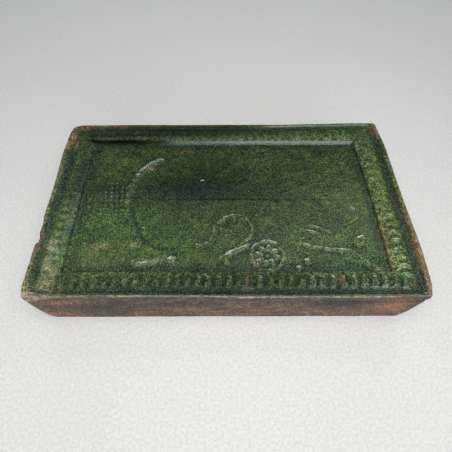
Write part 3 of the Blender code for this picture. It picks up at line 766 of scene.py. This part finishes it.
def buildTile():
    rowsX, restX = meshLines(halfLength, endRim, endRim)
    rowsY, restY = meshLines(halfWidth, nearRim, farRim)
    cellsX, cellsY = len(restX) - 1, len(restY) - 1
    shell, level = drawShell(cellsX, cellsY)
    onFace = level == 0
    flat = np.array([vert.co[:2] for vert in shell.verts])
    column = np.rint((flat[:, 0] + 1) / 2 * cellsX).astype(int)
    line = np.rint((flat[:, 1] + 1) / 2 * cellsY).astype(int)
    print("tile: grid of", cellsX, "by", cellsY, "cells and", len(tile["edge"]), "rings")

    face = shapeFace(rowsX, rowsY, restX, restY)
    px, py, pz, row, pool, hollow, thin = (part[line, column] for part in face)
    share, at, reach, start, end = press["filledStep"]
    pool = pool * (1 - share * bell(px, at, reach) * eased(-py, start, end))
    px, py, pz = placeRings(px, py, pz, level, restX[column], restY[line])
    px, py, pz = worn(px, py, pz)
    px, py, pz, bare = chipped(px, py, pz)
    px, py, pz = (
        np.clip(part, low / mm, high / mm) for part, low, high in zip((px, py, pz), nodeLow, nodeHigh)
    )
    for vert, place in zip(shell.verts, np.stack([px, py, pz], axis=1) * mm):
        vert.co = place
    bmesh.ops.recalc_face_normals(shell, faces=shell.faces)
    mesh = bpy.data.meshes.new("glazedTile")
    shell.to_mesh(mesh)
    shell.free()

    marks = finishMarks(px, py, pz, row, onFace, bare)
    for name, values in (("pool", pool), ("hollow", hollow), ("knots", thin)):
        marks[name] = np.where(onFace, values, 0)
    for name, values in marks.items():
        layer = mesh.attributes.new(name, "FLOAT", "POINT")
        layer.data.foreach_set("value", values.astype(np.float32))
    mesh.shade_smooth()
    mesh.set_sharp_from_angle(angle=math.radians(press["sharpAngle"]))
    return addObject("glazedTile", mesh)


# one shader node; values are numbers or other nodes' outputs
def addNode(tree, kind, values=None, **settings):
    made = tree.nodes.new("ShaderNode" + kind)
    for name, value in settings.items():
        setattr(made, name, value)
    for name, value in (values or {}).items():
        if isinstance(value, bpy.types.NodeSocket):
            tree.links.new(value, made.inputs[name])
        else:
            made.inputs[name].default_value = value
    return made


# these helpers add their node to the tree of the first output they are given
def maths(operation):
    def joined(first, second):
        return addNode(first.id_data, "Math", {0: first, 1: second}, operation=operation).outputs[0]
    return joined


times, plus, larger = maths("MULTIPLY"), maths("ADD"), maths("MAXIMUM")


def speckle(place, size, detail=2, roughness=0.5):
    values = {"Vector": place, "Scale": 1 / (size * mm), "Detail": detail, "Roughness": roughness}
    return addNode(place.id_data, "TexNoise", values).outputs[0]


# start up to low and end from high on, smooth between
def ramp(value, low, high, start=0, end=1):
    values = {"Value": value, "From Min": low, "From Max": high, "To Min": start, "To Max": end}
    return addNode(value.id_data, "MapRange", values, interpolation_type="SMOOTHSTEP").outputs[0]


# up over the first two values and down again over the last two
def hump(value, rises, full, falls, ends):
    return times(ramp(value, rises, full), ramp(value, ends, falls))


# a number between two others
def mixed(share, first, second):
    return addNode(share.id_data, "Mix", {0: share, 2: first, 3: second}, data_type="FLOAT").outputs[0]


def blended(share, first, second):
    return addNode(share.id_data, "Mix", {0: share, 6: first, 7: second}, data_type="RGBA").outputs[2]


# other colours laid over one, each by its share
def layered(colour, layers):
    for share, over in layers:
        colour = blended(share, colour, over)
    return colour


# a colour made brighter or darker by a number
def toned(colour, tone):
    tree = colour.id_data
    grey = addNode(tree, "CombineColor", {0: tone, 1: tone, 2: tone}).outputs[0]
    values = {0: 1.0, 6: colour, 7: grey}
    return addNode(tree, "Mix", values, data_type="RGBA", blend_type="MULTIPLY").outputs[2]


# the colours that the glaze and the fired clay are blended from
glaze = {
    "deep": (0.010, 0.028, 0.010, 1),
    "leaf": (0.034, 0.070, 0.014, 1),
    "moss": (0.070, 0.108, 0.020, 1),
    # warm yellow-green glaze, also used for the painted highlight on the far step
    "warmAndLitEdge": (0.085, 0.125, 0.012, 1),
    "teal": (0.015, 0.036, 0.027, 1),
    # the pale colour of the painted highlights
    "paintedGlint": (0.19, 0.225, 0.195, 1),
    "olive": (0.125, 0.150, 0.062, 1),
    "tan": (0.29, 0.22, 0.135, 1),
    "rust": (0.26, 0.12, 0.06, 1),
    # the pale colour of the painted sparkles
    "paintedSparkle": (0.24, 0.29, 0.185, 1),
}
clay = {
    "terracotta": (0.155, 0.098, 0.069, 1),
    "buff": (0.17, 0.128, 0.092, 1),
    "mauve": (0.062, 0.052, 0.045, 1),
    # reddish fired clay, also used for the painted light on the near wall
    "emberAndPaintedLight": (0.20, 0.100, 0.062, 1),
    # dark grey of soot, also used for the painted shade on the near wall
    "sootAndShade": (0.036, 0.036, 0.028, 1),
    "cream": (0.32, 0.28, 0.21, 1),
    "rind": (0.066, 0.068, 0.048, 1),
}


surface = {
    "glazeTone": 0.89,
    "glazeRoughness": (0.12, 0.24),    # by the mottle
    "clayRoughness": 0.88,
    "dullShare": 0.6,
    "ior": 1.52,
    "specular": (0.5, 0.08),    # and where the glaze is dull
    "streak": (0.12, 0.12, 1),    # the drag marks of the walls are drawn out by this
    "bump": {"mottle": 0.22, "grain": 0.25, "drag": 0.25, "strength": 0.8, "depth": 0.6},
}


def glazedClay():
    material = bpy.data.materials.new("glazedClay")
    material.use_nodes = True
    tree = material.node_tree
    shader = tree.nodes["Principled BSDF"]

    # what each point of the mesh carries under this name
    def mark(name):
        return addNode(tree, "Attribute", attribute_name=name).outputs["Fac"]

    place = addNode(tree, "TexCoord").outputs["Object"]
    broad = speckle(place, 32)
    cloudy = speckle(place, 9, 3, 0.6)
    mottle = speckle(place, 3.0, 3, 0.6)
    grain = speckle(place, 1.15, 2, 0.7)
    pits = speckle(place, 0.8, 1, 0.6)
    streaks = addNode(tree, "Mapping", {"Vector": place, "Scale": surface["streak"]}).outputs[0]
    drag = speckle(streaks, 3.4, 3, 0.6)

    # the glaze: dark where it lies deep, leaf green and moss where it is thin
    pool, hollow = mark("pool"), mark("hollow")
    # painted highlights: pale where the glaze glints, less so in the hollows
    paintedGlint = times(mark("paintedGlint"), ramp(mottle, 0.3, 0.6, 0.4, 1))
    colour = blended(ramp(broad, 0.3, 0.7, 0.5, 1), glaze["deep"], glaze["leaf"])
    colour = layered(colour, [
        (ramp(cloudy, 0.45, 0.8, 0, 0.55), glaze["moss"]),
        (times(mark("warmAndLitEdge"), ramp(mottle, 0.3, 0.65)), glaze["warmAndLitEdge"]),
        (ramp(pool, 0.04, 0.5, 0, 0.75), glaze["deep"]),
        (ramp(hollow, 0.15, 1, 0, 0.8), glaze["deep"]),
        (times(ramp(pool, -0.08, -0.7, 0, 0.8), ramp(mottle, 0.35, 0.65)), glaze["olive"]),
        (mark("teal"), glaze["teal"]),
        (times(mark("knots"), ramp(mottle, 0.3, 0.6, 0.3, 0.85)), glaze["olive"]),
        (times(paintedGlint, ramp(hollow, 0.75, 0.3)), glaze["paintedGlint"]),
        (times(mark("tan"), ramp(mottle, 0.25, 0.6, 0.3, 1)), glaze["tan"]),
        (mark("rust"), glaze["rust"]),
    ])
    patchy = times(ramp(mottle, 0.3, 0.7, 0.72, 1.3), ramp(cloudy, 0.3, 0.7, 0.78, 1.25))
    grainTone = times(ramp(grain, 0.42, 0.62, 0.42, 1.6), ramp(pits, 0.42, 0.58, 0.5, 1.45))
    colour = toned(colour, mixed(mark("smooth"), times(grainTone, patchy), 1.0))
    # painted highlights: pale specks over the grain that stand in for the glaze's tiny glints
    paintedSparkles = times(ramp(grain, 0.46, 0.66, 0, 0.30), ramp(pits, 0.42, 0.6, 0.25, 1))
    colour = blended(paintedSparkles, colour, glaze["paintedSparkle"])
    # the tone patches, with the painted shade along the steps
    colour = toned(colour, plus(mark("tone"), surface["glazeTone"]))

    # the smoked rind of the plate's edge
    sandTone = times(ramp(grain, 0.42, 0.62, 0.32, 1.9), patchy)
    # reddish clay, which on the near wall is partly painted light
    emberAndPaintedLight = times(mark("emberAndPaintedLight"), ramp(mottle, 0.2, 0.5))
    rind = layered(blended(ramp(drag, 0.4, 0.6), clay["rind"], clay["mauve"]), [
        (emberAndPaintedLight, clay["emberAndPaintedLight"]),
        (ramp(cloudy, 0.54, 0.68, 0, 0.5), clay["buff"]),
    ])
    rindShare = ramp(mark("rind"), 0.3, 0.7)
    colour = blended(rindShare, colour, toned(rind, sandTone))

    # the thinly glazed lip
    lip = layered(blended(ramp(mottle, 0.35, 0.65), clay["cream"], clay["buff"]), [
        (emberAndPaintedLight, clay["emberAndPaintedLight"]),
        (ramp(cloudy, 0.5, 0.7, 0, 0.35), glaze["olive"]),
        (mark("greenLip"), glaze["olive"]),
    ])
    lipTone = ramp(speckle(place, 5, 3, 0.7), 0.38, 0.62, 0.4, 1.7)
    lipShare = ramp(plus(mark("lip"), times(mottle, 1.6)), 1.25, 1.65)
    colour = blended(lipShare, colour, toned(lip, lipTone))

    # the bare clay of the walls and breaks, with soot and painted shade on the near wall, and reddish
    # clay that is partly painted light there
    body = layered(blended(ramp(drag, 0.4, 0.6), clay["mauve"], clay["terracotta"]), [
        (ramp(cloudy, 0.5, 0.8, 0, 0.5), clay["buff"]),
        (times(mark("sootAndShade"), ramp(drag, 0.2, 0.6)), clay["sootAndShade"]),
        (emberAndPaintedLight, clay["emberAndPaintedLight"]),
    ])
    bare = larger(mark("bare"), mark("wall"))
    bareShare = ramp(plus(bare, times(mottle, 0.4)), 0.55, 0.8)
    colour = blended(bareShare, colour, toned(body, sandTone))
    tree.links.new(colour, shader.inputs["Base Color"])

    dull = times(larger(mark("dull"), mark("rust")), surface["dullShare"])
    matt = larger(larger(bareShare, rindShare), larger(lipShare, dull))
    gloss = ramp(mottle, 0.3, 0.7, *surface["glazeRoughness"])
    tree.links.new(mixed(matt, gloss, surface["clayRoughness"]), shader.inputs["Roughness"])
    shader.inputs["IOR"].default_value = surface["ior"]
    specular = ramp(mark("dull"), 0.1, 0.7, *surface["specular"])
    tree.links.new(specular, shader.inputs["Specular IOR Level"])

    bump = surface["bump"]
    height = plus(times(mottle, bump["mottle"]), times(grain, bump["grain"]))
    height = plus(height, times(drag, bump["drag"]))
    values = {"Height": height, "Strength": bump["strength"], "Distance": bump["depth"] * mm}
    tree.links.new(addNode(tree, "Bump", values).outputs[0], shader.inputs["Normal"])
    return material


table = {
    "halfSize": 3,    # in metres
    "dark": (0.585, 0.58, 0.565, 1),
    "light": (0.685, 0.68, 0.665, 1),
    "roughness": 0.9,
}


def buildFloor():
    plane = bmesh.new()
    bmesh.ops.create_grid(plane, x_segments=4, y_segments=4, size=table["halfSize"])
    mesh = bpy.data.meshes.new("tableTop")
    plane.to_mesh(mesh)
    plane.free()
    material = bpy.data.materials.new("paleTable")
    material.use_nodes = True
    tree = material.node_tree
    shader = tree.nodes["Principled BSDF"]
    weave = speckle(addNode(tree, "TexCoord").outputs["Object"], 2.2, 2, 0.6)
    colour = blended(ramp(weave, 0.3, 0.7), table["dark"], table["light"])
    tree.links.new(colour, shader.inputs["Base Color"])
    shader.inputs["Roughness"].default_value = table["roughness"]
    mesh.materials.append(material)
    return addObject("tableTop", mesh)


# the camera in millimetres, and the lights of the room, painted on its sky by how far each
# direction points away from the camera, up and to the right
studio = {
    "camera": (-0.843, -181.743, 302.117),
    "tilt": (31.906, 0, -0.200),    # degrees
    "lens": 27.876,
    "lift": -0.0011,
    "sky": 0.12,
    "room": 0.36,    # added on the near side
    "roomAway": (0.3, -0.2),
    "panel": 1.9,    # a high panel on the far side
    "panelAway": (0.40, 0.46, 0.47, 0.55),
    "panelUp": (0.5, 0.6),
    "panelSide": (-0.3, 0.25, 0.3),    # brighter to the right: from, to, share at the left
    "window": 7.2,    # a low bright window on the far side
    "windowAway": (0.77, 0.86),
    "windowUp": (0.03, 0.08, 0.27, 0.38),
    "strip": 5.4,    # a low strip behind the camera
    "stripWay": (0.25, -0.968, 0),
    "stripReach": (0.84, 0.92),
    "stripUp": (0.17, 0.23, 0.44, 0.52),
    "tint": (0.97, 1.0, 1.02, 1),
    "softbox": (0.02, -0.20, 0.50),    # place in metres
    "softboxSize": 0.44,
    "softboxPower": 2.7,
}


def buildCamera():
    data = bpy.data.cameras.new("view")
    data.sensor_width = 36
    data.lens = studio["lens"]
    data.shift_y = studio["lift"]
    data.clip_start = 0.01
    camera = addObject("view", data)
    camera.location = Vector(studio["camera"]) * mm
    camera.rotation_euler = [math.radians(angle) for angle in studio["tilt"]]
    bpy.context.scene.camera = camera
    bpy.context.scene.view_settings.view_transform = "Standard"


def buildLights():
    world = bpy.data.worlds.new("studio")
    bpy.context.scene.world = world
    world.use_nodes = True
    tree = world.node_tree
    direction = addNode(tree, "TexCoord").outputs["Generated"]
    side, away, up = addNode(tree, "SeparateXYZ", {0: direction}).outputs
    panel = times(hump(away, *studio["panelAway"]), ramp(up, *studio["panelUp"]))
    sideFrom, sideTo, leftShare = studio["panelSide"]
    bright = studio["panel"]
    panel = times(panel, ramp(side, sideFrom, sideTo, leftShare * bright, bright))
    window = ramp(away, *studio["windowAway"], 0, studio["window"])
    window = times(hump(up, *studio["windowUp"]), window)
    behind = addNode(tree, "VectorMath", {0: direction, 1: studio["stripWay"]}, operation="DOT_PRODUCT")
    strip = ramp(behind.outputs["Value"], *studio["stripReach"], 0, studio["strip"])
    strip = times(hump(up, *studio["stripUp"]), strip)
    room = ramp(away, *studio["roomAway"], studio["sky"], studio["sky"] + studio["room"])
    light = plus(plus(panel, window), plus(strip, room))
    background = tree.nodes["Background"]
    tree.links.new(light, background.inputs["Strength"])
    background.inputs["Color"].default_value = studio["tint"]

    lamp = bpy.data.lights.new("softbox", "AREA")
    lamp.shape = "DISK"
    lamp.size = studio["softboxSize"]
    lamp.energy = studio["softboxPower"]
    lampObject = addObject("softbox", lamp)
    lampObject.location = studio["softbox"]
    lampObject.rotation_euler = Vector(studio["softbox"]).to_track_quat("Z", "Y").to_euler()
    lampObject.visible_glossy = False


glazedTile = buildTile()
glazedTile.data.materials.append(glazedClay())
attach(glazedTile, "root")
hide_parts("stove_tile")
print("tile: faces", len(glazedTile.data.polygons))

buildFloor()
buildCamera()
buildLights()
print("studio: camera and lights ready")
